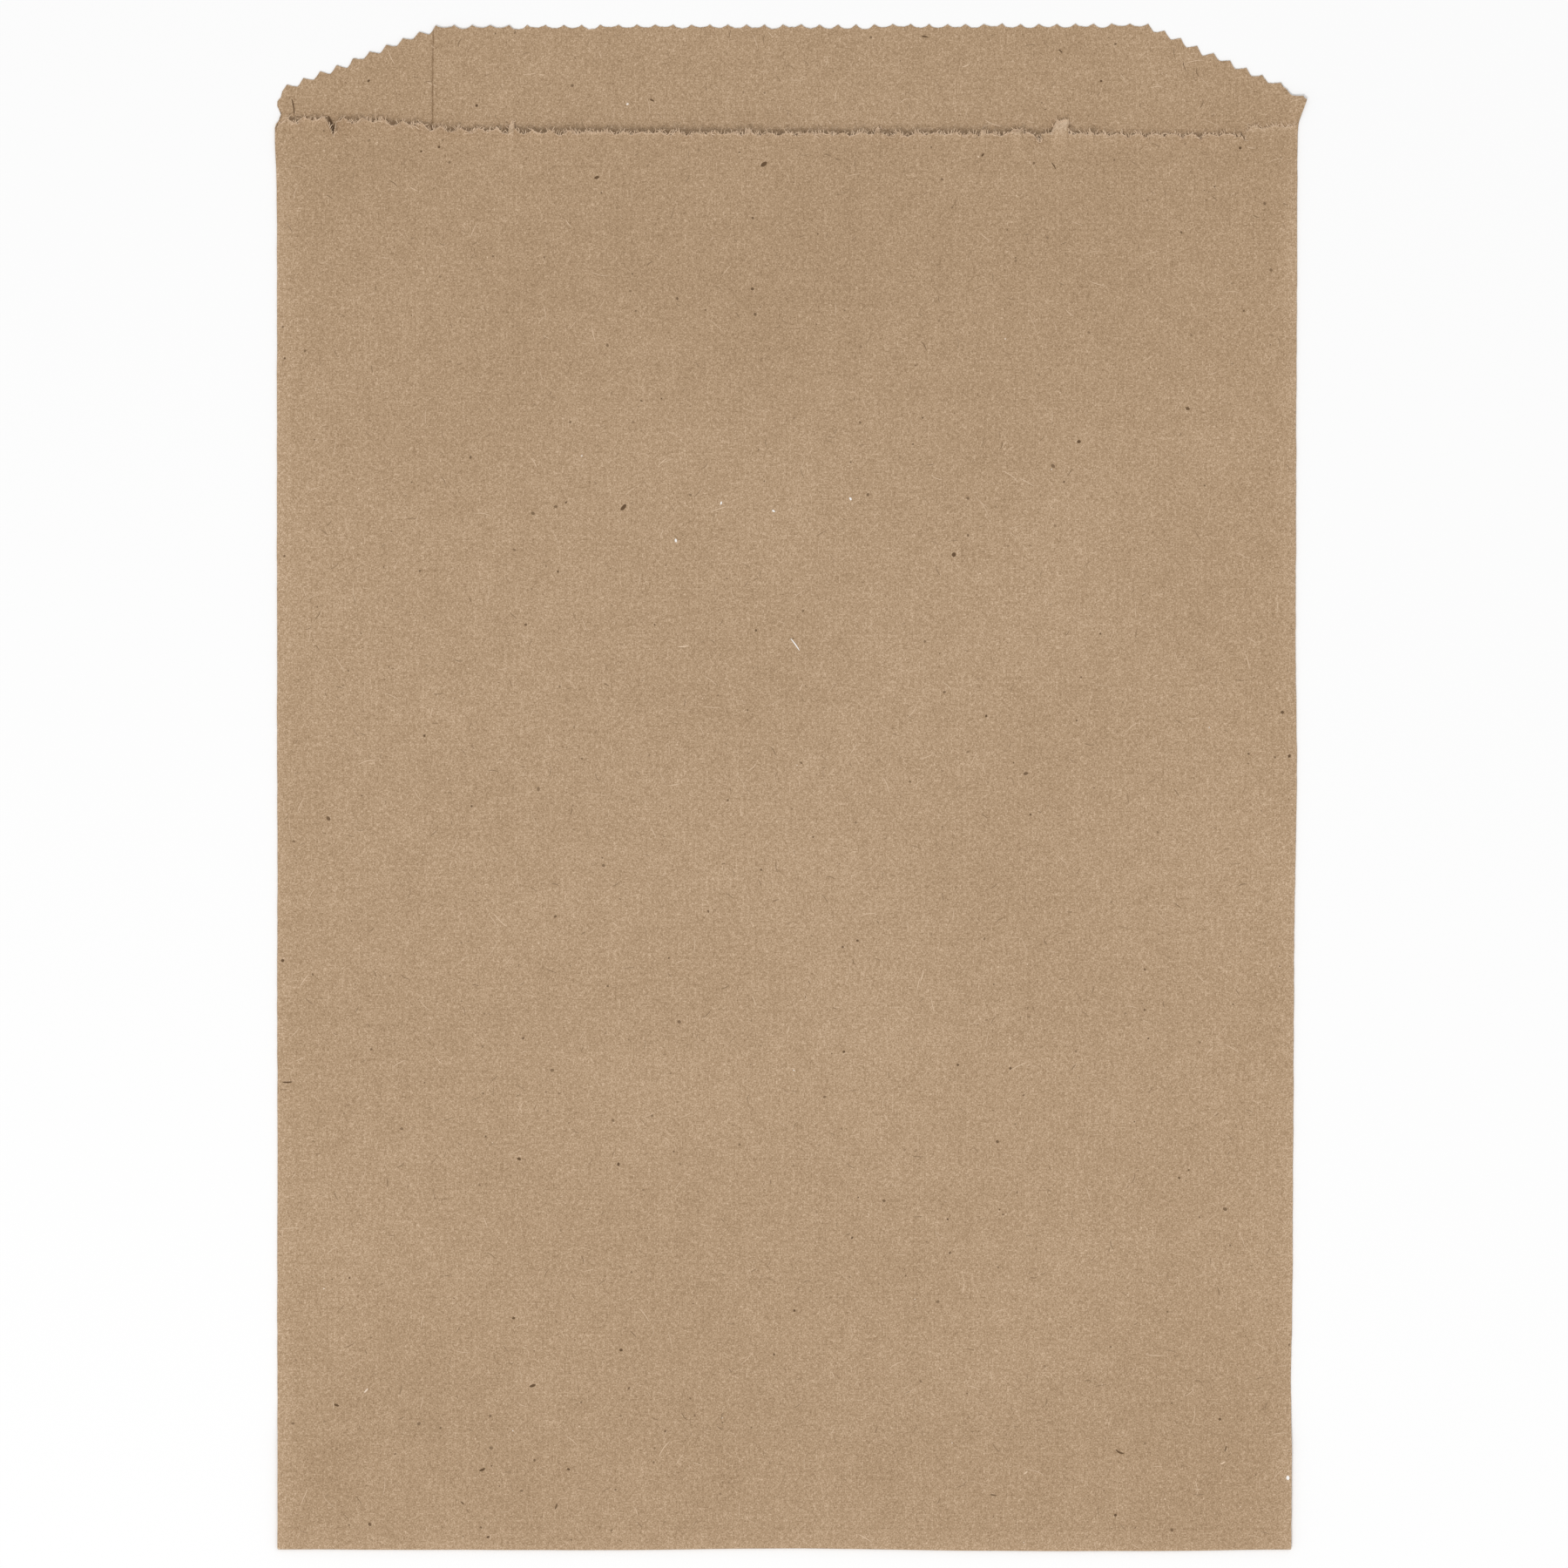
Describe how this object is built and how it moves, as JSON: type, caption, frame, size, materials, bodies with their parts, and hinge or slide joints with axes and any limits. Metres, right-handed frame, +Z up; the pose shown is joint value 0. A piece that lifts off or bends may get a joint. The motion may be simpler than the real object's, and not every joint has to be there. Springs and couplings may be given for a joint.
{
  "type": "flat paper bag",
  "caption": "Flat kraft paper bag with toothed edges, a sloping-cornered back lip past the mouth, a lengthwise lap and a turned-up bottom.",
  "frame": {"origin": "on the table, under the middle of the bag's outline as it lies on its back", "axes": "+Y along the bag towards the mouth and lip, +Z up out of the front panel, +X across the bag to the right of the mouth seen from the front"},
  "size_m": [0.1596, 0.237, 0.0021],
  "materials": {
    "kraft_paper": "uncoated brown kraft, matt"
  },
  "bodies": {
    "root": {"paper_bag": "kraft_paper"}
  },
  "joints": []
}
